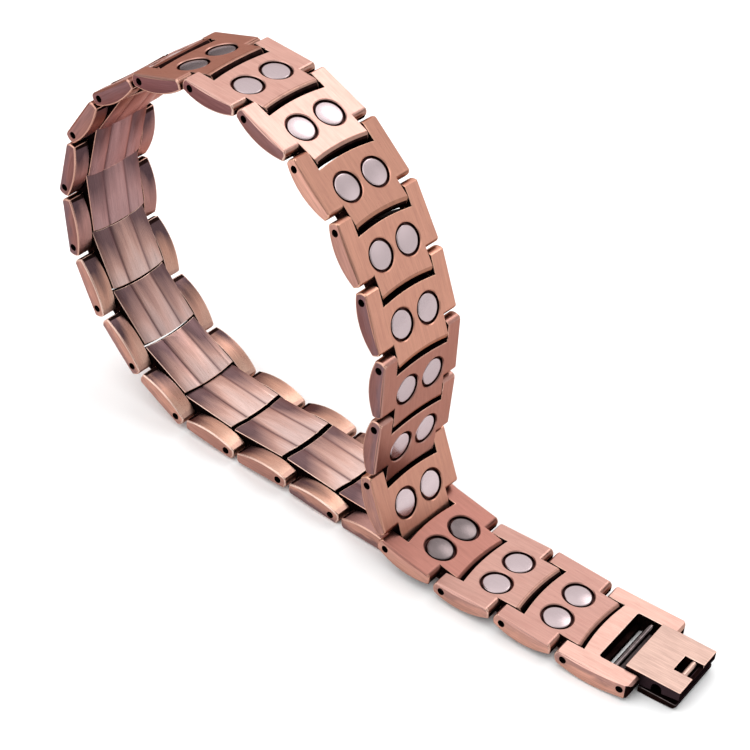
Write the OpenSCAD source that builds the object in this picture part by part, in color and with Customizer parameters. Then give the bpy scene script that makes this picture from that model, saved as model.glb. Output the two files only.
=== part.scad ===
// Magnetic bracelet: a band of 23 hinged links with two magnets in each, an
// end frame and a fold-over clasp. It lies curled into one upright loop, with
// the magnet side turned outward and the free end flat on the surface.
//
// Every link is drawn along its own x axis: the cheeks' pin at the origin, the
// tongue toward +x, the magnet side toward +z. Lengths are in millimetres.

/* [Band] */
// Width of the band across the cheeks at their widest
band_width = 15.2; // [15:0.1:16]
// Distance from one hinge pin to the next
pitch = 8.92; // [8.9:0.01:9.1]
// Radius of the hinge pins
pin_radius = 0.42; // [0.36:0.02:0.44]
// Depth of each pin's end below the outside of the cheek
pin_recess = 0.65; // [0.4:0.05:0.8]

/* [Link] */
// Height of the magnet side above the pins' line
face_height = 0.95; // [0.9:0.01:1]
// Depth of the cheeks' belly below the pins' line
cheek_belly = 1.35; // [1.3:0.01:1.4]
// Depth of the centre strip's crown below the pins' line
crown_depth = 1.85; // [1.75:0.01:1.85]
// Radius of the cheeks' round end
cheek_end_radius = 1.3; // [1.2:0.01:1.3]
// Where the cheeks end, measured from their own pin
cheek_length = 7.1; // [6.9:0.05:7.15]
// Half the width between the cheeks
slot_half = 5; // [4.95:0.01:5.05]
// Half the width of the tongue and of the centre strip
tongue_half = 4.8; // [4.7:0.01:4.8]

/* [Magnets] */
// Diameter of a magnet
magnet_d = 3.64; // [3.5:0.02:3.7]
// Diameter of the recess round it
recess_d = 4.2; // [4.1:0.02:4.3]
// Distance of the magnets from the cheeks' pin
magnet_x = 4.93; // [4.8:0.01:5]
// Distance of each magnet from the middle of the band
magnet_y = 2.52; // [2.4:0.01:2.6]

/* [End frame] */
// Distance between the end frame's two pins
frame_pitch = 7.94; // [7.9:0.01:8]
// Depth of the end frame's belly
frame_belly = 1.6; // [1.5:0.01:1.6]
// Where the end frame's arms end, measured from its link pin
frame_length = 9.2; // [9.1:0.05:9.3]

/* [Clasp] */
// Radius of the clasp's hinge pin
clasp_pin_radius = 0.45; // [0.42:0.01:0.46]
// Half the width of the clasp box and of its cover
clasp_half = 4.65; // [4.6:0.01:4.65]
// Height of the clasp box's plate above the pin
plate_height = 1.45; // [1.4:0.01:1.5]
// Length of the clasp box in front of its pin
box_reach = 6.68; // [6.6:0.02:6.76]
// Length of the cover in front of the clasp pin
cover_reach = 6.5; // [6.3:0.02:6.6]

/* [Hidden] */
$fn = 48;

LINKS = 23;
// How each piece leans about the band's width and how it is turned about its
// own magnet side, in degrees: the end frame first, then the links in order.
LEAN = 0;
TURN = 1;
POSE = [
    [0, 4.9],
    [3.3, 4.3],
    [-2.4, 3.1],
    [9.9, 1.6],
    [65.7, 0.1],
    [90.4, -0.4],
    [87.4, -0.6],
    [65.6, -1],
    [55.6, -1.5],
    [37.5, -1.8],
    [19.5, -1.6],
    [0.8, -1.2],
    [-19.4, -1.1],
    [-40.1, -1.2],
    [-59.4, -0.8],
    [-81.2, -0.3],
    [-101.6, 0],
    [-121.2, 0.1],
    [-137.7, -0.2],
    [-153.9, -0.5],
    [-175.8, -0.6],
    [-182.2, -0.7],
    [-176.5, -0.8],
    [-180, -0.5],
];

// Where the clasp pin lies, so that the whole piece stands on z = 0 with the
// middle of its outline at the origin.
CLASP_PIN = [43.45, 0.96, 1.73];

half = band_width / 2;
// The cheeks' outer faces and the slots' ends are shallow arcs.
side_radius = 60;
side_middle = 3;
slot_radius = 29.7;
slot_end = 1.2;
far = 12;
// How far a cutting shape runs past what it cuts
spare = 1;

// Link, side view
belly_radius = 11.5;
belly_x = 2.7;
cheek_corner = 0.7;
edge_bevel = 0.3;
hole_radius = 0.5;
bore_radius = 0.62;
groove_top = -0.35;

// Centre strip: three ribs with a crease between them
rib_radius = 6.5;
rib_spacing = 3.15;
rib_drop = 0.2;
strip_length_radius = 40;
strip_middle = 5.6;

// Tongue's end: how far it reaches past its pin at each height
PAST = 0;
HEIGHT = 1;
TONGUE_END = [
    [0.3, 2],
    [0.35, face_height],
    [0.72, 0.5],
    [0.85, 0],
    [0.85, -0.6],
    [0.4, -1.9],
    [0.4, -3],
];

// Magnets
recess_depth = 0.45;
recess_rim = 0.12;
seat_depth = 1;
magnet_sink = 0.07;
magnet_gap = 0.05;
magnet_edge = 0.2;

// End frame
frame_belly_x = 4.2;
frame_belly_radius = 20;
frame_slot_end = 1.05;
frame_window = 3.5;
ledge_end = 4.15;
ledge_top = -0.9;
window_half = 4.86;
window_corner = 0.4;
frame_corner = 1;
frame_corner_y = half - 1.2;
frame_front_drop = 0.32;
arm_slope = 0.35;
arm_slope_top = -0.3;
arm_slope_bottom = -1.3;
frame_bar_x = 5.67;
frame_bar_radius = 0.5;
frame_bar_foot = -1.1;
frame_bar_gap = 0.05;

// Clasp box
plate_thickness = 0.5;
wall_thickness = 0.8;
wall_bottom = -0.5;
knuckle_radius = 1.15;
plate_back = 0.89;
catch_x = 3.55;
catch_height = 0.2;
catch_radius = 0.7;
notch_start = 4.01;
notch_half = 1.5;
front_wall = 0.6;
wall_slope_start = 2;
wall_front_bottom = 0.15;
clasp_hole_radius = 0.5;

// Clasp cover
cover_top = -0.75;
cover_start = 1.2;
cover_belly = 1.68;
cover_belly_x = 2.5;
cover_belly_radius = 45;
cover_corner = 0.3;
cover_lip = 0.35;
cover_lip_top = -1.15;
lug_radius = 0.85;
lug_half = 3.7;
lug_width = 1;
lug_reach = 0.9;
lug_grip = 0.3;
lug_foot = 0.5;
lug_heel = [0.25, -0.8];
tab_start = 4.95;
tab_end = 5.8;
tab_half = 1.4;
tab_top = 1.35;
tab_root = 0.3;

// Name of a link's node, such as link_07
function link_name(k) = str("link_", k < 10 ? "0" : "", k);

// Direction of a piece's own x axis, toward the clasp
function along(k) = let (lean = POSE[k][LEAN], turn = POSE[k][TURN])
    [cos(lean) * cos(turn), sin(turn), -sin(lean) * cos(turn)];

// Where the cheeks' pin of piece k is; piece 0 is the end frame
function pin_place(k) = k == 0
    ? CLASP_PIN - frame_pitch * along(0)
    : pin_place(k - 1) - pitch * along(k);

// Puts a piece that is drawn along x into its place in the band
module placed(k) {
    translate(pin_place(k))
        rotate([0, POSE[k][LEAN], 0])
            rotate([0, 0, POSE[k][TURN]])
                children();
}

// Puts what is drawn round the clasp pin into its place
module at_clasp_pin() {
    placed(0)
        translate([frame_pitch, 0, 0])
            children();
}

// A block from one corner to the opposite one
module slab(low, high) {
    translate(low)
        cube(high - low);
}

// A round bar across the band
module bar(x, z, radius, reach) {
    translate([x, -reach, z])
        rotate([-90, 0, 0])
            cylinder(r = radius, h = 2 * reach);
}

// A round post along the thickness
module post(x, y, radius, bottom, top) {
    translate([x, y, bottom])
        cylinder(r = radius, h = top - bottom);
}

// A shape that is drawn in x and z and runs across the band
module across(reach) {
    translate([0, reach, 0])
        rotate([90, 0, 0])
            linear_extrude(height = 2 * reach)
                children();
}

// Everything on the clasp side of a vertical arc that bulges away from it
module behind_arc(x) {
    translate([x + slot_radius, 0, -far])
        cylinder(r = slot_radius, h = 2 * far, $fn = 180);
}

// A block with round ends toward the pin, a belly and arched outer faces
module cheek_block(length, belly, belly_at, belly_r) {
    intersection() {
        union() {
            bar(0, 0, cheek_end_radius, half);
            slab([0, -half, -far], [length, half, far]);
        }
        translate([0, 0, belly_r - belly])
            bar(belly_at, 0, belly_r, half + spare, $fn = 120);
        slab([-far, -half, -far], [2 * far, half, face_height]);
        post(side_middle, half - side_radius, side_radius, -far, far, $fn = 360);
        post(side_middle, side_radius - half, side_radius, -far, far, $fn = 360);
        // long bevels beside the magnet side
        rotate([90, 0, 90])
            translate([0, 0, -far])
                linear_extrude(height = 3 * far)
                    polygon([
                        [-half, -far],
                        [half, -far],
                        [half, face_height - edge_bevel],
                        [half - edge_bevel, face_height],
                        [edge_bevel - half, face_height],
                        [-half, face_height - edge_bevel],
                    ]);
    }
}

// Space between the cheeks, where the next tongue goes in
module slot_space(end) {
    difference() {
        slab([-far, -slot_half, -far], [end + spare, slot_half, far]);
        behind_arc(end);
    }
}

// One round rib of the centre strip, seen along the band
module rib_section(middle) {
    translate([middle, rib_radius - crown_depth])
        circle(r = rib_radius, $fn = 96);
}

// The centre strip and the tongue, which carry the crowned outer face
module centre_strip() {
    intersection() {
        // seen along the band: three ribs under one crown
        rotate([90, 0, 90])
            linear_extrude(height = pitch + 2 * spare)
                intersection() {
                    union() {
                        rib_section(0);
                        for (side = [-1, 1])
                            translate([0, rib_drop])
                                rib_section(side * rib_spacing);
                    }
                    translate([-tongue_half, -crown_depth - spare])
                        square([2 * tongue_half, face_height + crown_depth + spare]);
                }
        // seen from the side: a long shallow arc
        translate([0, 0, strip_length_radius - crown_depth])
            bar(strip_middle, 0, strip_length_radius, half, $fn = 180);
        behind_arc(slot_end);
    }
}

// What is cut off beyond the tongue's end
module beyond_tongue() {
    middle = pitch + slot_radius;
    translate([middle, 0, 0])
        rotate_extrude($fn = 180)
            polygon(concat(
                [[0, TONGUE_END[len(TONGUE_END) - 1][HEIGHT]], [0, TONGUE_END[0][HEIGHT]]],
                [for (row = TONGUE_END) [slot_radius - row[PAST], row[HEIGHT]]]
            ));
}

// Seat of one magnet, and the shallow recess round it with a bevelled rim
module magnet_seat(y) {
    post(magnet_x, y, magnet_d / 2 + magnet_gap, face_height - seat_depth, face_height + spare);
    post(magnet_x, y, recess_d / 2, face_height - recess_depth, face_height + spare);
    translate([magnet_x, y, face_height - recess_rim])
        cylinder(r1 = recess_d / 2, r2 = recess_d / 2 + recess_rim, h = recess_rim);
}

module link() {
    color([0.80, 0.56, 0.46])
        difference() {
            union() {
                difference() {
                    cheek_block(cheek_length, cheek_belly, belly_x, belly_radius);
                    slot_space(slot_end);
                    // the upper front corner of the cheeks is round
                    difference() {
                        slab(
                            [cheek_length - cheek_corner, -far, face_height - cheek_corner],
                            [cheek_length + spare, far, face_height + spare]
                        );
                        bar(
                            cheek_length - cheek_corner,
                            face_height - cheek_corner,
                            cheek_corner,
                            half + spare
                        );
                        slab(
                            [0, -tongue_half, -far],
                            [far, tongue_half, far]
                        );
                    }
                    // grooves between the cheeks and the centre strip
                    for (side = [-1, 1])
                        slab(
                            [0, min(side * tongue_half, side * slot_half), -far],
                            [far, max(side * tongue_half, side * slot_half), groove_top]
                        );
                }
                centre_strip();
            }
            beyond_tongue();
            bar(0, 0, hole_radius, half + spare);
            bar(pitch, 0, bore_radius, half + spare);
            for (side = [-1, 1])
                magnet_seat(side * magnet_y);
        }
}

// The end frame's window, open toward the clasp, with round inner corners
module window_space(start, bottom, top) {
    slab([start + window_corner, -window_half, bottom], [far, window_half, top]);
    slab([start, window_corner - window_half, bottom], [far, window_half - window_corner, top]);
    for (side = [-1, 1])
        post(start + window_corner, side * (window_half - window_corner), window_corner, bottom, top);
}

module end_frame() {
    color([0.89, 0.69, 0.58])
        placed(0)
            difference() {
                cheek_block(frame_length, frame_belly, frame_belly_x, frame_belly_radius);
                slot_space(frame_slot_end);
                // a ledge runs along the window's foot on the side away from the clasp
                window_space(frame_window, ledge_top, far);
                window_space(ledge_end, -far, 0);
                // the arms' outer corners are round, and their ends slope
                for (side = [-1, 1])
                    difference() {
                        slab(
                            [frame_length - frame_corner, side > 0 ? frame_corner_y : -far, -far],
                            [far, side > 0 ? far : -frame_corner_y, far]
                        );
                        post(
                            frame_length - frame_corner,
                            side * frame_corner_y,
                            frame_corner,
                            -far,
                            far
                        );
                    }
                across(far)
                    polygon([
                        [frame_length - frame_front_drop, face_height],
                        [frame_length, face_height - frame_front_drop],
                        [frame_length + spare, face_height - frame_front_drop],
                        [frame_length + spare, face_height + spare],
                        [frame_length - frame_front_drop, face_height + spare],
                    ]);
                across(far)
                    polygon([
                        [frame_length, arm_slope_top],
                        [frame_length - arm_slope, arm_slope_bottom],
                        [frame_length + spare, arm_slope_bottom],
                        [frame_length + spare, arm_slope_top],
                    ]);
                bar(0, 0, hole_radius, half + spare);
                bar(frame_pitch, 0, clasp_hole_radius, half + spare);
            }
}

// The bar across the end frame's window, round along its top and its foot
module frame_bar() {
    reach = window_half - frame_bar_gap;
    color([0.34, 0.28, 0.28])
        placed(0)
            union() {
                bar(frame_bar_x, 0, frame_bar_radius, reach);
                bar(frame_bar_x, frame_bar_foot, frame_bar_radius, reach);
                slab(
                    [frame_bar_x - frame_bar_radius, -reach, frame_bar_foot],
                    [frame_bar_x + frame_bar_radius, reach, 0]
                );
            }
}

// The clasp box without its hollow: a knuckle round the pin and the box
module box_block() {
    bar(0, 0, knuckle_radius, clasp_half);
    across(clasp_half)
        polygon([
            [0, wall_bottom],
            [-plate_back, 0],
            [-plate_back, plate_height],
            [box_reach, plate_height],
            [box_reach, wall_front_bottom],
            [wall_slope_start, wall_bottom],
        ]);
}

// Hollow between the clasp box's side walls, open below and behind
module box_hollow() {
    ceiling = plate_height - plate_thickness;
    wall_x = box_reach - front_wall;
    across(clasp_half - wall_thickness)
        polygon([
            [-far, -far],
            [-far, ceiling],
            [wall_x, ceiling],
            [wall_x, wall_front_bottom],
            [far, wall_front_bottom],
            [far, -far],
        ]);
}

module clasp_box() {
    color([0.87, 0.68, 0.58])
        at_clasp_pin()
            difference() {
                box_block();
                box_hollow();
                // notch in the front of the plate
                slab(
                    [notch_start, -notch_half, plate_height - plate_thickness],
                    [far, notch_half, far]
                );
                // arched catches in the side walls
                bar(catch_x, catch_height, catch_radius, far);
                slab([catch_x - catch_radius, -far, -far], [catch_x + catch_radius, far, catch_height]);
                bar(0, 0, clasp_hole_radius, far);
            }
}

module clasp_cover() {
    color([0.42, 0.31, 0.30])
        at_clasp_pin()
            difference() {
                union() {
                    // the curved plate
                    intersection() {
                        translate([0, 0, cover_belly_radius - cover_belly])
                            bar(cover_belly_x, 0, cover_belly_radius, clasp_half, $fn = 240);
                        slab([cover_start, -clasp_half, -far], [cover_reach, clasp_half, cover_top]);
                        union() {
                            slab([0, -far, -far], [cover_reach - cover_corner, far, far]);
                            slab(
                                [0, cover_corner - clasp_half, -far],
                                [far, clasp_half - cover_corner, far]
                            );
                            for (side = [-1, 1])
                                post(
                                    cover_reach - cover_corner,
                                    side * (clasp_half - cover_corner),
                                    cover_corner,
                                    -far,
                                    far
                                );
                        }
                    }
                    // two lugs round the clasp pin
                    for (side = [-1, 1])
                        translate([0, side * (lug_half - lug_width / 2), 0])
                            across(lug_width / 2)
                                union() {
                                    circle(r = lug_radius);
                                    polygon([
                                        [lug_radius, 0],
                                        [cover_start + lug_reach, cover_top],
                                        [cover_start + lug_reach, cover_top - lug_grip],
                                        [cover_start, cover_top - lug_foot],
                                        lug_heel,
                                        [0, 0],
                                    ]);
                                }
                    // the round-topped tab that snaps into the notch
                    translate([0, 0, tab_top - (tab_end - tab_start) / 2])
                        bar((tab_start + tab_end) / 2, 0, (tab_end - tab_start) / 2, tab_half);
                    slab(
                        [tab_start, -tab_half, cover_top - tab_root],
                        [tab_end, tab_half, tab_top - (tab_end - tab_start) / 2]
                    );
                }
                // the lower front edge is taken off at a slant
                across(far)
                    polygon([
                        [cover_reach, cover_lip_top],
                        [cover_reach - cover_lip, cover_lip_top - cover_lip],
                        [cover_reach - cover_lip, -far],
                        [far, -far],
                        [far, cover_lip_top],
                    ]);
                bar(0, 0, clasp_hole_radius, far);
            }
}

module clasp_pin() {
    color([0.25, 0.22, 0.22])
        at_clasp_pin()
            bar(0, 0, clasp_pin_radius, half - pin_recess);
}

module catch_pin() {
    color([0.25, 0.22, 0.22])
        placed(LINKS)
            bar(0, 0, pin_radius, half - pin_recess);
}

// Pins in the cheeks of the end frame and of every link but the last
module hinge_pins() {
    color([0.25, 0.22, 0.22])
        for (k = [0:LINKS - 1])
            placed(k)
                bar(0, 0, pin_radius, half - pin_recess);
}

module magnet() {
    bottom = face_height - seat_depth + magnet_gap;
    top = face_height - magnet_sink;
    translate([0, 0, bottom])
        cylinder(d = magnet_d, h = top - magnet_edge - bottom);
    translate([0, 0, top - magnet_edge])
        cylinder(d1 = magnet_d, d2 = magnet_d - 2 * magnet_edge, h = magnet_edge);
}

module magnets() {
    color([0.72, 0.68, 0.69])
        for (k = [1:LINKS], side = [-1, 1])
            placed(k)
                translate([magnet_x, side * magnet_y, 0])
                    magnet();
}

end_frame();
frame_bar();
clasp_box();
clasp_cover();
clasp_pin();
catch_pin();
hinge_pins();
magnets();
for (k = [1:LINKS])
    placed(k) link();
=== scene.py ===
import math

import bmesh
import bpy
from mathutils import Matrix, Vector


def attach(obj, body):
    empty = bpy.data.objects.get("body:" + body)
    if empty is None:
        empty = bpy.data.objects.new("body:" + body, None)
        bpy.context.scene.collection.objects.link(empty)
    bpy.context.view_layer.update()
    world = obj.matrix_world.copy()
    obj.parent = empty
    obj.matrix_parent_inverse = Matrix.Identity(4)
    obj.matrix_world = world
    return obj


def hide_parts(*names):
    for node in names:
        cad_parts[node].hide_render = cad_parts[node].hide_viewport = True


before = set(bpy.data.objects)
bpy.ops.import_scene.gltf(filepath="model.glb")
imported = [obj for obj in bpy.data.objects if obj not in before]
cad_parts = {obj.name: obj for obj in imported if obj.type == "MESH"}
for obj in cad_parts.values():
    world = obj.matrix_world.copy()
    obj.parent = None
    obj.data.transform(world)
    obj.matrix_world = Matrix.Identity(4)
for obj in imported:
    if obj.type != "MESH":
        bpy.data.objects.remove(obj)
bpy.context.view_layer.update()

# Sizes in millimetres, as in the part's source. A piece's own frame has its
# cheek pin, or the clasp pin, at the origin. Its x runs along the band toward
# the clasp, and its z points to the magnet side.
MM = 0.001
PITCH = 8.92
FRAME_PITCH = 7.94
CLASP_PIN = (43.45, 0.96, 1.73)
HALF_WIDTH = 7.6
FACE_HEIGHT = 0.95
SLOT_HALF = 5.0
TONGUE_HALF = 4.8
HOLE_RADIUS = 0.5
RECESS_RADIUS = 2.22
MAGNET_X = 4.93
MAGNET_Y = 2.52
MAGNET_RADIUS = 1.82
WINDOW_HALF = 4.86
CLASP_HALF = 4.65
PLATE_HEIGHT = 1.45
COVER_TOP = -0.75

# Places that tell one part of a piece from another, each a little short of
# what bounds that part, or a little past it
HOLE_REACH = HOLE_RADIUS + 0.05
RECESS_REACH = RECESS_RADIUS + 0.1
RECESS_FLOOR_Z = -0.3
RECESS_RIM_Z = FACE_HEIGHT - 0.15
FACE_Z = FACE_HEIGHT - 0.1
CHEEK_Y = SLOT_HALF - 0.01
CHEEK_SIDE_Y = HALF_WIDTH - 0.6
CHEEK_EDGE_Y = HALF_WIDTH - 0.4
CHEEK_BACK_X = 0.6
FRONT_TOP_Z = 0.2
STRIP_Z = -1.1
TONGUE_END_X = 8
TONGUE_CORNER_X = 9
TONGUE_FOOT_Z = -1.2
WINDOW_X = 3.2
WINDOW_Y = WINDOW_HALF + 0.01
ARM_SIDE_Y = HALF_WIDTH - 1.4
CLASP_SIDE_Y = CLASP_HALF - 0.1
PLATE_Z = PLATE_HEIGHT - 0.05
PLATE_EDGE_Z = PLATE_HEIGHT - 0.3
COVER_EDGE_Z = COVER_TOP - 0.2
TAB_X = 4

# How each piece leans about the band's width and how it is turned about its
# own magnet side, in degrees: the end frame first, then the links in order.
POSE = [
    (0, 4.9),
    (3.3, 4.3),
    (-2.4, 3.1),
    (9.9, 1.6),
    (65.7, 0.1),
    (90.4, -0.4),
    (87.4, -0.6),
    (65.6, -1),
    (55.6, -1.5),
    (37.5, -1.8),
    (19.5, -1.6),
    (0.8, -1.2),
    (-19.4, -1.1),
    (-40.1, -1.2),
    (-59.4, -0.8),
    (-81.2, -0.3),
    (-101.6, 0),
    (-121.2, 0.1),
    (-137.7, -0.2),
    (-153.9, -0.5),
    (-175.8, -0.6),
    (-182.2, -0.7),
    (-176.5, -0.8),
    (-180, -0.5),
]
LINKS = len(POSE) - 1
MASTER_LINK = 11


def turned(number):
    lean, turn = POSE[number]
    return (
        Matrix.Rotation(math.radians(lean), 4, "Y")
        @ Matrix.Rotation(math.radians(turn), 4, "Z")
    )


def pin_places():
    """Where each piece's cheek pin is, in metres."""
    frame_start = Vector(CLASP_PIN) * MM - turned(0) @ Vector((FRAME_PITCH * MM, 0, 0))
    places = [frame_start]
    for number in range(1, LINKS + 1):
        places.append(places[-1] - turned(number) @ Vector((PITCH * MM, 0, 0)))
    return places


PLACES = pin_places()


def placed(number):
    """From a piece's own frame to the part's frame."""
    return Matrix.Translation(PLACES[number]) @ turned(number)


def at_clasp_pin():
    return Matrix.Translation(Vector(CLASP_PIN) * MM) @ turned(0)


# Node trees

# The sockets for colours on a Mix node, which has others for numbers and vectors
MIX_START = 6
MIX_END = 7
MIX_RESULT = 2


class Nodes:
    """A node tree, with one call for each kind of node."""

    def __init__(self, owner):
        owner.use_nodes = True
        self.tree = owner.node_tree
        self.tree.nodes.clear()

    def add(self, kind, **settings):
        node = self.tree.nodes.new(kind)
        for key, value in settings.items():
            setattr(node, key, value)
        return node

    def join(self, output, socket):
        self.tree.links.new(output, socket)

    def put(self, value, socket):
        """Gives a socket another node's output, a colour or a number."""
        if isinstance(value, bpy.types.NodeSocket):
            self.join(value, socket)
        elif isinstance(value, tuple):
            socket.default_value = value + (1,)
        else:
            socket.default_value = value

    def calculate(self, operation, first, second=0.0):
        node = self.add("ShaderNodeMath", operation=operation)
        self.put(first, node.inputs[0])
        self.put(second, node.inputs[1])
        return node.outputs[0]

    def spread(self, value, low, high, to_low=0.0, to_high=1.0, curve="LINEAR"):
        """Runs from to_low to to_high as value runs from low to high, and stays there outside."""
        node = self.add("ShaderNodeMapRange", clamp=True, interpolation_type=curve)
        for socket, setting in zip(node.inputs, (value, low, high, to_low, to_high)):
            self.put(setting, socket)
        return node.outputs[0]

    def mix(self, amount, start, end, blend="MIX"):
        node = self.add("ShaderNodeMix", data_type="RGBA", blend_type=blend)
        self.put(amount, node.inputs[0])
        self.put(start, node.inputs[MIX_START])
        self.put(end, node.inputs[MIX_END])
        return node.outputs[MIX_RESULT]

    def scaled(self, colour, factor):
        node = self.add("ShaderNodeVectorMath", operation="SCALE")
        self.join(colour, node.inputs[0])
        self.join(factor, node.inputs["Scale"])
        return node.outputs[0]


class Surface(Nodes):
    """A material with one Principled shader."""

    def __init__(self, name):
        self.material = bpy.data.materials.new(name)
        super().__init__(self.material)
        self.shader = self.add("ShaderNodeBsdfPrincipled")
        output = self.add("ShaderNodeOutputMaterial")
        self.join(self.shader.outputs[0], output.inputs[0])

    def set(self, name, value):
        self.put(value, self.shader.inputs[name])

    def local(self, scale):
        """Places in the piece's own frame, in millimetres times scale."""
        coordinates = self.add("ShaderNodeTexCoord")
        mapping = self.add("ShaderNodeMapping")
        self.join(coordinates.outputs["Object"], mapping.inputs["Vector"])
        mapping.inputs["Scale"].default_value = [factor / MM for factor in scale]
        return mapping.outputs[0]

    def place(self):
        """The x, y and z of a place in the piece's own frame, in millimetres."""
        node = self.add("ShaderNodeSeparateXYZ")
        self.join(self.local((1, 1, 1)), node.inputs[0])
        return tuple(node.outputs)

    def attribute(self, name):
        return self.add("ShaderNodeAttribute", attribute_name=name).outputs["Fac"]

    def shifted(self, place):
        """A place that is moved along for each piece, so that no two pieces have the same marks."""
        shift = self.add("ShaderNodeCombineXYZ")
        self.join(self.attribute("shift"), shift.inputs["Y"])
        moved = self.add("ShaderNodeVectorMath", operation="ADD")
        self.join(place, moved.inputs[0])
        self.join(shift.outputs[0], moved.inputs[1])
        return moved.outputs[0]

    def marks(self, kind, differ=True):
        """Noise of one kind, which may differ from piece to piece."""
        scale, detail, roughness = kind
        place = self.local(scale)
        node = self.add("ShaderNodeTexNoise")
        self.join(self.shifted(place) if differ else place, node.inputs["Vector"])
        node.inputs["Scale"].default_value = 1.0
        node.inputs["Detail"].default_value = detail
        node.inputs["Roughness"].default_value = roughness
        return node.outputs[0]

    def metal(self, colour, roughness, tint):
        """Makes the shader a metal; tint is the colour of its reflection at a grazing angle."""
        self.set("Base Color", colour)
        self.set("Roughness", roughness)
        self.set("Metallic", 1.0)
        self.set("Specular Tint", tint)

    def bump(self, height, strength, depth):
        node = self.add("ShaderNodeBump")
        node.inputs["Strength"].default_value = strength
        node.inputs["Distance"].default_value = depth * MM
        self.join(height, node.inputs["Height"])
        self.join(node.outputs[0], self.shader.inputs["Normal"])

    def brush(self, colour, roughness, streaks, tint):
        """Brushed lines over a colour, in shade, roughness and relief."""
        lines = self.marks(LINES)
        fine = self.marks(FINE_LINES)
        shade = self.spread(lines, NOISE_LOW, NOISE_HIGH, 1 - streaks, 1 + streaks)
        smooth = roughness - 0.06
        rough = roughness + 0.08
        polish = self.spread(fine, low=0.25, high=0.75, to_low=smooth, to_high=rough)
        self.metal(self.scaled(colour, shade), polish, tint)
        height = self.calculate("ADD", lines, self.calculate("MULTIPLY", fine, FINE_RELIEF))
        self.bump(height, strength=0.35, depth=0.012)


# Materials

# Colours of the reflection at a grazing angle
WARM = (0.75, 0.45, 0.38)
DIM = (0.12, 0.06, 0.06)
STEEL_TINT = (0.8, 0.7, 0.7)
NICKEL_TINT = (0.8, 0.72, 0.73)

# Painted warm reflection: what an orange face keeps of each colour
ORANGE_REFLECTION = (1.0, 0.85, 0.73)

# Colours of the outer side, along a link: pale, middle, and dark for the painted
# shade where it tucks under the next link, and then the deep colour of a link that kept its patina
STRIP_COLOURS = ((0.49, 0.355, 0.325), (0.43, 0.255, 0.21), (0.10, 0.059, 0.064), (0.28, 0.155, 0.16))
CROWN_COLOURS = ((0.44, 0.28, 0.215), (0.38, 0.205, 0.15), (0.056, 0.034, 0.04), (0.27, 0.14, 0.135))
# A dark stain, and also the colour of the painted shade in the outer side's creases
STAIN_AND_CREASE_SHADE = (0.10, 0.052, 0.056)
MAUVE_STAIN = (0.15, 0.095, 0.105)

# Kinds of marks: how fast each changes along a piece, across it and up it, per
# millimetre, and then the detail and the roughness of its noise
LINES = ((0.25, 7.0, 7.0), 3.0, 0.6)
FINE_LINES = ((0.5, 18.0, 18.0), 2.0, 0.5)
STAINS = ((0.3, 0.9, 0.9), 4.0, 0.6)
BANDS = ((0.05, 0.45, 0.5), 2.0, 0.5)
CLOUDS = ((0.9, 0.9, 0.9), 4.0, 0.6)
GRAIN = ((9.0, 9.0, 9.0), 2.0, 0.5)
# Most values of a noise lie between these two
NOISE_LOW = 0.3
NOISE_HIGH = 0.7
# How far apart two links lie in the pattern of marks
SHIFT_STEP = 7.3
# How high the fine lines stand, as a share of the others
FINE_RELIEF = 0.6
# The creases along the outer side: how far each is from the middle, how wide
# it is on each side, and how much painted shade, in the stain's colour, its bottom has
CREASE_Y = 1.97
CREASE_REACH = 0.5
CREASE_SHADE = 0.75


def brushed(name, deep, pale, stain, roughness=0.32, streaks=0.1, stained=0.3, tint=WARM):
    """Brushed copper. A piece's tone runs from deep to pale, partly painted reflection and shade, and
    its face may take a painted warm reflection; stain is the patina left on it.
    """
    surface = Surface(name)
    colour = surface.mix(surface.attribute("tone"), deep, pale)
    # Painted warm reflection, in the amount each piece is given, turns its face orange
    orange = surface.mix(1.0, colour, ORANGE_REFLECTION, "MULTIPLY")
    colour = surface.mix(surface.attribute("warm_reflection"), colour, orange)
    stains = surface.marks(STAINS)
    amount = surface.spread(stains, low=0.62 - stained, high=0.85, to_high=2 * stained)
    surface.brush(surface.mix(amount, colour, stain), roughness, streaks, tint)
    return surface.material


def side_copper(name, deep, pale):
    """The cheeks' sides: more patina toward the magnet side, and painted shade that makes them darker
    toward the outer side.
    """
    surface = Surface(name)
    height = surface.place()[2]
    colour = surface.mix(surface.attribute("side_tone"), deep, pale)
    stains = surface.spread(surface.marks(STAINS), NOISE_LOW, NOISE_HIGH)
    toward_magnets = surface.spread(height, low=-0.9, high=0.5, to_low=-0.5, to_high=0.5)
    kept = surface.spread(surface.calculate("ADD", stains, toward_magnets), low=0.2, high=0.9)
    amount = surface.calculate("MULTIPLY", kept, surface.attribute("stain"))
    colour = surface.mix(amount, colour, MAUVE_STAIN)
    shade = surface.spread(height, low=-1.2, high=0.4, to_low=0.78, to_high=1.06)
    surface.brush(surface.scaled(colour, shade), roughness=0.36, streaks=0.2, tint=WARM)
    return surface.material


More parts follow.
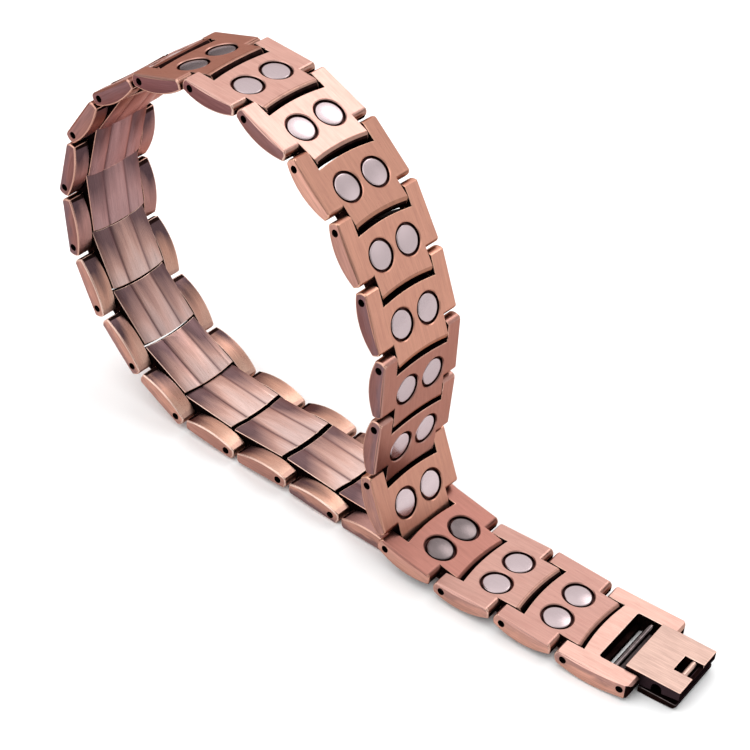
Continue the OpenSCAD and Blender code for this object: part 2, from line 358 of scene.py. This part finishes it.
def outer_copper(name, start, end, colours, shade_from, creased):
    """The outer side: pale at the link's pin end, with painted shade where it tucks under the next
    link and in the creases.
    """
    pale, middle, dark, deep = colours
    surface = Surface(name)
    x, y = surface.place()[:2]
    out = surface.calculate("ABSOLUTE", y)
    along = surface.spread(x, start, end)
    # Painted shade: the outer ribs darken sooner along the link than the middle one
    if creased:
        inside = CREASE_Y - CREASE_REACH
        outside = CREASE_Y + CREASE_REACH
        share = surface.spread(out, inside, outside, to_low=0.65, to_high=1.15)
        along = surface.calculate("MULTIPLY", along, share)
    bands = surface.marks(BANDS)
    uneven = surface.spread(bands, NOISE_LOW, NOISE_HIGH, to_low=-0.25, to_high=0.25)
    along = surface.calculate("ADD", along, uneven)
    tone = surface.attribute("tone")
    first = surface.mix(tone, deep, pale)
    second = surface.mix(tone, deep, middle)
    colour = surface.mix(surface.spread(along, low=0.0, high=0.5), first, second)
    # Painted shade toward the end that tucks under the next link
    colour = surface.mix(surface.spread(along, shade_from, high=1.0, to_high=0.95), colour, dark)
    # Painted shade in the creases, in the stain's colour
    if creased:
        distance = surface.calculate("ABSOLUTE", surface.calculate("SUBTRACT", out, CREASE_Y))
        slope = surface.spread(distance, low=0.03, high=CREASE_REACH, to_low=1.0, to_high=0.0)
        crease_shade = surface.calculate("POWER", slope, 2.0)
        amount = surface.calculate("MULTIPLY", crease_shade, CREASE_SHADE)
        colour = surface.mix(amount, colour, STAIN_AND_CREASE_SHADE)
    surface.brush(colour, roughness=0.3, streaks=0.12, tint=WARM)
    return surface.material


def patina(name, light, dark, roughness=0.5, tint=DIM):
    """A dark, clouded metal: the patina in the recesses, and near-black painted shade in the slots
    and holes and on the pins.
    """
    surface = Surface(name)
    clouds = surface.marks(CLOUDS, differ=False)
    grain = surface.marks(GRAIN, differ=False)
    colour = surface.mix(surface.spread(clouds, low=0.35, high=0.68), dark, light)
    smooth = roughness - 0.1
    rough = roughness + 0.12
    surface.metal(colour, surface.spread(grain, NOISE_LOW, NOISE_HIGH, smooth, rough), tint)
    surface.bump(grain, strength=0.25, depth=0.01)
    return surface.material


FACE = brushed(
    "copper_face",
    deep=(0.22, 0.10, 0.085),
    pale=(0.60, 0.37, 0.315),
    stain=(0.28, 0.12, 0.10),
    stained=0.16,
)
BEVELLED = brushed(
    "copper_bevel",
    deep=(0.13, 0.05, 0.04),
    pale=(0.40, 0.24, 0.19),
    stain=STAIN_AND_CREASE_SHADE,
    stained=0.2,
)
# Pale copper on the rounded edges: a painted highlight
EDGE_HIGHLIGHT = brushed(
    "edge_painted_highlight",
    deep=(0.50, 0.27, 0.21),
    pale=(0.70, 0.50, 0.42),
    stain=(0.36, 0.19, 0.15),
    roughness=0.26,
)
PLATE = brushed(
    "clasp_plate",
    deep=(0.46, 0.30, 0.25),
    pale=(0.52, 0.355, 0.30),
    stain=(0.32, 0.21, 0.18),
    streaks=0.16,
)
MAUVE = brushed(
    "clasp_side",
    deep=(0.022, 0.013, 0.015),
    pale=(0.045, 0.028, 0.033),
    stain=(0.01, 0.006, 0.007),
    roughness=0.4,
    tint=DIM,
)
MAGNET = brushed(
    "magnet_face",
    deep=(0.10, 0.080, 0.080),
    pale=(0.56, 0.455, 0.47),
    stain=(0.34, 0.27, 0.28),
    roughness=0.2,
    streaks=0.02,
    stained=0.1,
    tint=NICKEL_TINT,
)
SIDE = side_copper("copper_side", deep=(0.165, 0.07, 0.072), pale=(0.65, 0.35, 0.27))
STRIP = outer_copper(
    "copper_strip",
    start=1.5,
    end=8.9,
    colours=STRIP_COLOURS,
    shade_from=0.35,
    creased=True,
)
CROWN = outer_copper(
    "copper_crown",
    start=-1.5,
    end=6.0,
    colours=CROWN_COLOURS,
    shade_from=0.5,
    creased=False,
)
# Near-black: patina, and painted shade in the slots, the holes, the window and the lower end faces
PATINA_AND_SHADE = patina(
    "dark_patina_and_painted_shade",
    light=(0.022, 0.010, 0.009),
    dark=(0.006, 0.003, 0.003),
)
RING = patina(
    "recess_patina",
    light=(0.06, 0.025, 0.022),
    dark=(0.02, 0.008, 0.008),
    roughness=0.4,
    tint=WARM,
)
# Near-black pin steel: painted shade on the pin ends, deep in their holes
PIN_IN_SHADE = patina(
    "pin_steel_in_painted_shade",
    light=(0.012, 0.009, 0.009),
    dark=(0.004, 0.003, 0.003),
    roughness=0.4,
)
BAR = patina(
    "bar_steel",
    light=(0.12, 0.095, 0.095),
    dark=(0.05, 0.04, 0.04),
    roughness=0.15,
    tint=STEEL_TINT,
)


# Meshes

SURFACES = [FACE, SIDE, BEVELLED, STRIP, CROWN, PATINA_AND_SHADE, RING, EDGE_HIGHLIGHT, PLATE, MAUVE, BAR]
EDGE_HIGHLIGHT_SURFACE = SURFACES.index(EDGE_HIGHLIGHT)

# Widths of the rounded edges: the tongue's upright corners, its end, the
# cheeks' outsides and all others
CORNER_BEVEL = 0.3
END_BEVEL = 0.28
SIDE_BEVEL = 0.2
BEVEL = 0.08
BEVEL_SEGMENTS = 3
# Edges of larger angles than these are rounded, and drawn crisp
BEVEL_ANGLE = math.radians(50)
SHARP_ANGLE = math.radians(20)
# Faces closer to one plane than this are joined, and corners closer than this
FLAT_ANGLE = math.radians(0.6)
WELD = 0.002
# An edge that rises more steeply than this is upright
UPRIGHT = 0.6


def in_hole(place):
    """Whether a place lies on the wall or the rim of a pin's hole."""
    if abs(place.y) < TONGUE_HALF:
        return False
    pins = (0, PITCH, FRAME_PITCH)
    return any(math.hypot(place.x - pin_x, place.z) < HOLE_REACH for pin_x in pins)


def in_recess(place):
    """Whether a place lies within the round of a magnet's recess, seen from the magnet side."""
    return math.hypot(place.x - MAGNET_X, abs(place.y) - MAGNET_Y) < RECESS_REACH


def bevel_width(middle, upright):
    """How wide the rounding of a sharp edge is, by where the edge's middle lies."""
    if in_recess(middle) or in_hole(middle):
        return 0
    if middle.x > TONGUE_CORNER_X and middle.z > TONGUE_FOOT_Z:
        return CORNER_BEVEL if upright else END_BEVEL
    return SIDE_BEVEL if abs(middle.y) > CHEEK_EDGE_Y else BEVEL


def frame_bevel_width(middle, upright):
    if in_hole(middle) or middle.x > FRAME_PITCH:
        return 0
    return SIDE_BEVEL if abs(middle.y) > CHEEK_EDGE_Y else BEVEL


def clasp_bevel_width(middle, upright):
    return 0 if in_hole(middle) else BEVEL


def clean_copy(node, inverse, width_of):
    """A CAD node's mesh in its piece's own frame: flat faces joined, edges to round marked."""
    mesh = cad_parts[node].data.copy()
    mesh.materials.clear()
    mesh.transform(inverse)
    if "custom_normal" in mesh.attributes:
        mesh.attributes.remove(mesh.attributes["custom_normal"])
    work = bmesh.new()
    work.from_mesh(mesh)
    bmesh.ops.remove_doubles(work, verts=work.verts, dist=WELD * MM)
    bmesh.ops.dissolve_limit(work, angle_limit=FLAT_ANGLE, verts=work.verts, edges=work.edges)
    weight = work.edges.layers.float.new("bevel_weight_edge")
    for edge in work.edges:
        angle = edge.calc_face_angle() if len(edge.link_faces) == 2 else 0
        edge.smooth = angle < SHARP_ANGLE
        if angle > BEVEL_ANGLE and edge.is_convex:
            start, end = [corner.co / MM for corner in edge.verts]
            upright = abs((end - start).normalized().z) > UPRIGHT
            edge[weight] = width_of((start + end) / 2, upright) / CORNER_BEVEL
    work.to_mesh(mesh)
    work.free()
    mesh.shade_smooth()
    return mesh


def rounded(mesh):
    """The mesh with its marked edges rounded, as a new mesh."""
    for surface in SURFACES:
        mesh.materials.append(surface)
    piece = bpy.data.objects.new("work", mesh)
    bpy.context.scene.collection.objects.link(piece)
    bevel = piece.modifiers.new("bevel", "BEVEL")
    bevel.width = CORNER_BEVEL * MM
    bevel.segments = BEVEL_SEGMENTS
    bevel.limit_method = "WEIGHT"
    bevel.use_clamp_overlap = False
    bevel.harden_normals = True
    # The rounded edges get the pale copper of a painted highlight
    bevel.material = EDGE_HIGHLIGHT_SURFACE
    seen = piece.evaluated_get(bpy.context.evaluated_depsgraph_get())
    result = bpy.data.meshes.new_from_object(seen)
    bpy.data.objects.remove(piece)
    return result


def paint(mesh, choose):
    """Gives every face the surface that choose names; where it names none, the face keeps its own."""
    for face in mesh.polygons:
        is_edge = face.material_index == EDGE_HIGHLIGHT_SURFACE
        surface = choose(face.center / MM, face.normal, is_edge)
        if surface is not None:
            face.material_index = SURFACES.index(surface)


# How far a face is turned in a direction: the share of its normal that points there
SLIGHTLY = 0.3
PARTLY = 0.35
MOSTLY = 0.6
FULLY = 0.9


# Which surface a face has: each rule takes the face's middle in millimetres,
# its normal, and whether it is part of a rounded edge.
def link_surface(centre, normal, is_edge):
    on_cheek = abs(centre.y) > CHEEK_Y
    # Pin holes: near-black painted shade
    if in_hole(centre) and abs(normal.y) < FULLY:
        return PATINA_AND_SHADE
    if in_recess(centre) and RECESS_FLOOR_Z < centre.z < RECESS_RIM_Z:
        return RING
    # Other rounded edges keep their painted highlight
    if is_edge:
        at_tongue_end = not on_cheek and centre.x > TONGUE_END_X and centre.z > 0
        return BEVELLED if at_tongue_end else None
    # Cheek end faces: darker copper above, near-black painted shade below
    if on_cheek and normal.x > PARTLY:
        return BEVELLED if centre.z > FRONT_TOP_Z else PATINA_AND_SHADE
    if normal.z > SLIGHTLY and (on_cheek or centre.z > FACE_Z):
        return FACE
    if abs(centre.y) > CHEEK_SIDE_Y and abs(normal.y) > MOSTLY:
        return SIDE
    if on_cheek and centre.x < CHEEK_BACK_X and normal.x < -SLIGHTLY:
        return BEVELLED
    if on_cheek and normal.z < -PARTLY:
        return CROWN
    if centre.z < STRIP_Z and normal.z < -PARTLY:
        return STRIP
    # All else, as the slot walls and the tongue's end below its rounding: near-black patina and
    # painted shade
    return PATINA_AND_SHADE


def frame_surface(centre, normal, is_edge):
    # Pin holes and the inside of the window: near-black painted shade
    if in_hole(centre) and abs(normal.y) < FULLY:
        return PATINA_AND_SHADE
    if abs(centre.y) < WINDOW_Y and centre.x > WINDOW_X and centre.z < FACE_Z:
        return PATINA_AND_SHADE
    # Rounded edges keep their painted highlight
    if is_edge:
        return None
    on_near_arm = centre.x > FRAME_PITCH and centre.y < 0
    if normal.z > SLIGHTLY and centre.z > FRONT_TOP_Z:
        if normal.x < PARTLY:
            return FACE
        return SIDE if on_near_arm else BEVELLED
    if normal.x > MOSTLY:
        # End faces: near-black painted shade below the middle
        if centre.z < 0:
            return PATINA_AND_SHADE
        return SIDE if on_near_arm else BEVELLED
    if abs(centre.y) > ARM_SIDE_Y and abs(normal.y) > SLIGHTLY:
        return SIDE
    if abs(centre.y) > CHEEK_Y and centre.x < CHEEK_BACK_X:
        return BEVELLED
    if normal.z < -PARTLY:
        return CROWN
    return PATINA_AND_SHADE


def box_surface(centre, normal, is_edge):
    # The plate's rounded edges keep their painted highlight
    if is_edge:
        return None if centre.z > PLATE_EDGE_Z else MAUVE
    if normal.z > FULLY and centre.z > PLATE_Z:
        return PLATE
    if abs(centre.y) > CLASP_SIDE_Y or normal.x > MOSTLY:
        return MAUVE
    # Under the plate: near-black patina and painted shade
    return PATINA_AND_SHADE


def cover_surface(centre, normal, is_edge):
    on_tab = centre.z > 0 and centre.x > TAB_X
    if on_tab:
        return PLATE if normal.z > SLIGHTLY else PATINA_AND_SHADE
    if is_edge:
        on_near_top = centre.z > COVER_EDGE_Z and normal.y < -SLIGHTLY
        return BAR if on_near_top else MAUVE
    # The rest of the cover: near-black patina and painted shade
    return PATINA_AND_SHADE


# How each piece looks, from 0 to 1, the end frame first and then the links
# in order: how pale its face is, partly its own tone and partly painted reflection
# and shade; how orange its face is, a painted warm reflection; how pale its sides
# are, partly painted reflection; and how much patina they kept. From link 13 on
# the tone is that of the outer side.
LOOK_NAMES = ("tone", "warm_reflection", "side_tone", "stain")
LOOKS = [
    (0.96, 0.1, 0.95, 0.6),
    (0.41, 0.1, 0.95, 0.4),
    (0.55, 0.1, 0.8, 0.5),
    (0.05, 0.4, 0.85, 0.2),
    (0.6, 1.0, 0.52, 0.4),
    (0.33, 0.15, 0.22, 0.7),
    (0.26, 0.25, 0.14, 0.8),
    (0.67, 1.0, 0.08, 0.5),
    (0.68, 1.0, 0.55, 0.1),
    (0.69, 1.0, 0.88, 0.1),
    (0.64, 0.0, 0.12, 0.4),
    (0.7, 0.0, 0.02, 0.1),
    (0.45, 0.3, 0.0, 0.1),
    (0.1, 0.0, 0.05, 0.5),
    (0.0, 0.0, 0.3, 0.4),
    (0.1, 0.0, 0.12, 0.9),
    (0.2, 0.0, 0.2, 0.9),
    (0.9, 0.0, 0.6, 0.4),
    (0.8, 0.0, 0.85, 0.7),
    (0.9, 0.0, 1.0, 0.5),
    (1.0, 0.0, 0.65, 0.2),
    (0.9, 0.0, 0.6, 0.2),
    (1.0, 0.0, 0.85, 0.9),
    (0.3, 0.0, 0.9, 0.8),
]
CLASP_LOOK = (0.8, 0.0, 0.8, 0.0)
# How pale the magnets are painted, from link 1 on, a painted reflection that differs with how each
# link is turned; the others are turned away
MAGNET_REFLECTION_TONES = (0.54, 0.59, 0.05, 0.95, 0.87, 0.7, 0.73, 0.7, 0.77, 0.75, 0.56, 0.05)
HIDDEN_MAGNET_TONE = 0.7


def set_values(mesh, name, values):
    """Gives each corner of a mesh its value, for the mesh's materials to read."""
    mesh.attributes.new(name, "FLOAT", "POINT").data.foreach_set("value", values)


def set_look(mesh, look, number):
    count = len(mesh.vertices)
    for name, value in zip(LOOK_NAMES, look):
        set_values(mesh, name, [value] * count)
    set_values(mesh, "shift", [number * SHIFT_STEP] * count)


def add_piece(name, mesh, place, body, node):
    piece = bpy.data.objects.new(name, mesh)
    bpy.context.scene.collection.objects.link(piece)
    piece.matrix_world = place
    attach(piece, body)
    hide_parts(node)


def dressed(node, place, width_of, choose):
    """A CAD node's mesh in its piece's own frame, with rounded edges and a surface on each face."""
    mesh = rounded(clean_copy(node, place.inverted(), width_of))
    paint(mesh, choose)
    return mesh


def link_name(number):
    return "link_%02d" % number


def make_links():
    """All links have one shape, that of the master link, and each has a look of its own."""
    master = dressed(link_name(MASTER_LINK), placed(MASTER_LINK), bevel_width, link_surface)
    for number in range(1, LINKS + 1):
        mesh = master.copy()
        set_look(mesh, LOOKS[number], number)
        name = link_name(number)
        add_piece("band_" + name, mesh, placed(number), "band", name)


def make_end_frame():
    mesh = dressed("end_frame", placed(0), frame_bevel_width, frame_surface)
    set_look(mesh, LOOKS[0], 0)
    add_piece("band_end_frame", mesh, placed(0), "band", "end_frame")


def make_clasp_box():
    mesh = dressed("clasp_box", at_clasp_pin(), clasp_bevel_width, box_surface)
    set_look(mesh, CLASP_LOOK, 0)
    add_piece("box_shell", mesh, at_clasp_pin(), "clasp_box", "clasp_box")


def make_clasp_cover():
    mesh = dressed("clasp_cover", at_clasp_pin(), clasp_bevel_width, cover_surface)
    set_look(mesh, CLASP_LOOK, 0)
    add_piece("cover_plate", mesh, at_clasp_pin(), "clasp_cover", "clasp_cover")


# Magnets: discs with a rounded rim and a low crown. The foot and the top are
# heights in a link's own frame, and the crown's middle rises above the top.
DISC_FOOT = 0.0
DISC_TOP = 0.82
CROWN_RISE = 0.11
CROWN_STEPS = 6
RIM = 0.2
RIM_STEPS = 5
DISC_SIDES = 64


def disc_profile():
    """Radius and height, from the foot up over the rim to near the middle."""
    flat = MAGNET_RADIUS - RIM
    points = [(MAGNET_RADIUS, DISC_FOOT)]
    for step in range(RIM_STEPS + 1):
        turn = math.pi / 2 * step / RIM_STEPS
        points.append((flat + RIM * math.cos(turn), DISC_TOP - RIM + RIM * math.sin(turn)))
    for step in range(1, CROWN_STEPS):
        share = 1 - step / CROWN_STEPS
        points.append((flat * share, DISC_TOP + CROWN_RISE * (1 - share * share)))
    return points


def add_disc(work, place):
    rings = []
    for radius, height in disc_profile():
        ring = []
        for side in range(DISC_SIDES):
            turn = 2 * math.pi * side / DISC_SIDES
            point = Vector((radius * math.cos(turn), radius * math.sin(turn), height)) * MM
            ring.append(work.verts.new(place @ point))
        rings.append(ring)
    for below, above in zip(rings, rings[1:]):
        for side in range(DISC_SIDES):
            after = (side + 1) % DISC_SIDES
            work.faces.new((below[side], below[after], above[after], above[side]))
    work.faces.new(rings[-1])
    work.faces.new(list(reversed(rings[0])))


def make_magnets():
    work = bmesh.new()
    for number in range(1, LINKS + 1):
        for side in (-1, 1):
            seat = Matrix.Translation(Vector((MAGNET_X, side * MAGNET_Y, 0)) * MM)
            add_disc(work, placed(number) @ seat)
    mesh = bpy.data.meshes.new("magnet_discs")
    work.to_mesh(mesh)
    work.free()
    mesh.materials.append(MAGNET)
    count = len(mesh.vertices) // LINKS
    tones = MAGNET_REFLECTION_TONES + (HIDDEN_MAGNET_TONE,) * (LINKS - len(MAGNET_REFLECTION_TONES))
    set_values(mesh, "tone", [tone for tone in tones for corner in range(count)])
    mesh.shade_smooth()
    add_piece("magnet_discs", mesh, Matrix.Identity(4), "band", "magnets")


# CAD nodes that stay as they are, with a material of their own
KEPT_NODES = (
    ("hinge_pins", PIN_IN_SHADE),
    ("catch_pin", PIN_IN_SHADE),
    ("clasp_pin", PIN_IN_SHADE),
    ("frame_bar", BAR),
)


def dress_kept_nodes():
    for node, material in KEPT_NODES:
        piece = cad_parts[node]
        if not piece.material_slots:
            piece.data.materials.append(material)
        for slot in piece.material_slots:
            slot.material = material


# Floor, camera and light

# Half of the floor's width, in metres
FLOOR_HALF = 2
FLOOR_COLOUR = (0.92, 0.92, 0.92)
FLOOR_ROUGHNESS = 0.85
FLOOR_SPECULAR = 0.1


def make_floor():
    surface = Surface("studio_floor")
    surface.set("Base Color", FLOOR_COLOUR)
    surface.set("Roughness", FLOOR_ROUGHNESS)
    surface.set("Specular IOR Level", FLOOR_SPECULAR)
    mesh = bpy.data.meshes.new("floor")
    work = bmesh.new()
    bmesh.ops.create_grid(work, x_segments=1, y_segments=1, size=FLOOR_HALF)
    work.to_mesh(mesh)
    work.free()
    mesh.materials.append(surface.material)
    floor = bpy.data.objects.new("floor", mesh)
    bpy.context.scene.collection.objects.link(floor)


# The camera looks at its target from the side that back points to, from this
# many millimetres away, with its picture rolled by this many degrees.
CAMERA_TARGET = (-2.168, 0.96, 19.524)
CAMERA_BACK = (0.4531, -0.6415, 0.6191)
CAMERA_DISTANCE = 324.14
CAMERA_ROLL = 6.6
# Lens and sensor in millimetres, and the nearest place that the camera sees, in metres
CAMERA_LENS = 123.4
SENSOR_WIDTH = 36
NEAREST = 0.01


def make_camera():
    data = bpy.data.cameras.new("camera")
    data.lens = CAMERA_LENS
    data.sensor_width = SENSOR_WIDTH
    data.clip_start = NEAREST
    camera = bpy.data.objects.new("camera", data)
    bpy.context.scene.collection.objects.link(camera)
    back = Vector(CAMERA_BACK).normalized()
    right = Vector((0, 0, 1)).cross(back).normalized()
    up = back.cross(right)
    roll = math.radians(CAMERA_ROLL)
    tilted_right = right * math.cos(roll) + up * math.sin(roll)
    tilted_up = up * math.cos(roll) - right * math.sin(roll)
    turn = Matrix((tilted_right, tilted_up, back)).transposed().to_4x4()
    spot = (Vector(CAMERA_TARGET) + back * CAMERA_DISTANCE) * MM
    camera.matrix_world = Matrix.Translation(spot) @ turn
    bpy.context.scene.camera = camera


# Soft lights far away: direction, brightness, and the angles in degrees within
# which a light is full and beyond which it is gone.
SOFTBOXES = [
    ((-0.40, 0.64, 0.65), 0.75, 14, 42),
    ((-0.02, 0.70, 0.72), 2.6, 4, 12),
    ((0.72, 0.66, 0.12), 0.45, 14, 40),
    ((0.45, 0.55, 0.70), 0.3, 8, 36),
    ((-0.30, -0.60, 0.74), 0.8, 12, 48),
    ((-0.30, -0.95, 0.10), 0.5, 12, 45),
    ((-0.10, -0.10, 1.00), 0.5, 15, 50),
]
AMBIENT = 0.45
BRIGHTNESS = 1.4


def make_world():
    world = bpy.data.worlds.new("studio")
    bpy.context.scene.world = world
    sky = Nodes(world)
    outward = sky.add("ShaderNodeTexCoord").outputs["Generated"]
    total = AMBIENT
    for direction, level, inner, outer in SOFTBOXES:
        dot = sky.add("ShaderNodeVectorMath", operation="DOT_PRODUCT")
        sky.join(outward, dot.inputs[0])
        dot.inputs[1].default_value = Vector(direction).normalized()
        start = math.cos(math.radians(outer))
        full = math.cos(math.radians(inner))
        light = sky.spread(dot.outputs["Value"], start, full, to_high=level, curve="SMOOTHSTEP")
        total = sky.calculate("ADD", light, total)
    background = sky.add("ShaderNodeBackground")
    background.inputs["Strength"].default_value = BRIGHTNESS
    sky.join(total, background.inputs["Color"])
    sky.join(background.outputs[0], sky.add("ShaderNodeOutputWorld").inputs[0])


make_camera()
make_world()
bpy.context.scene.view_settings.view_transform = "Standard"
make_floor()
make_links()
make_end_frame()
make_clasp_box()
make_clasp_cover()
make_magnets()
dress_kept_nodes()
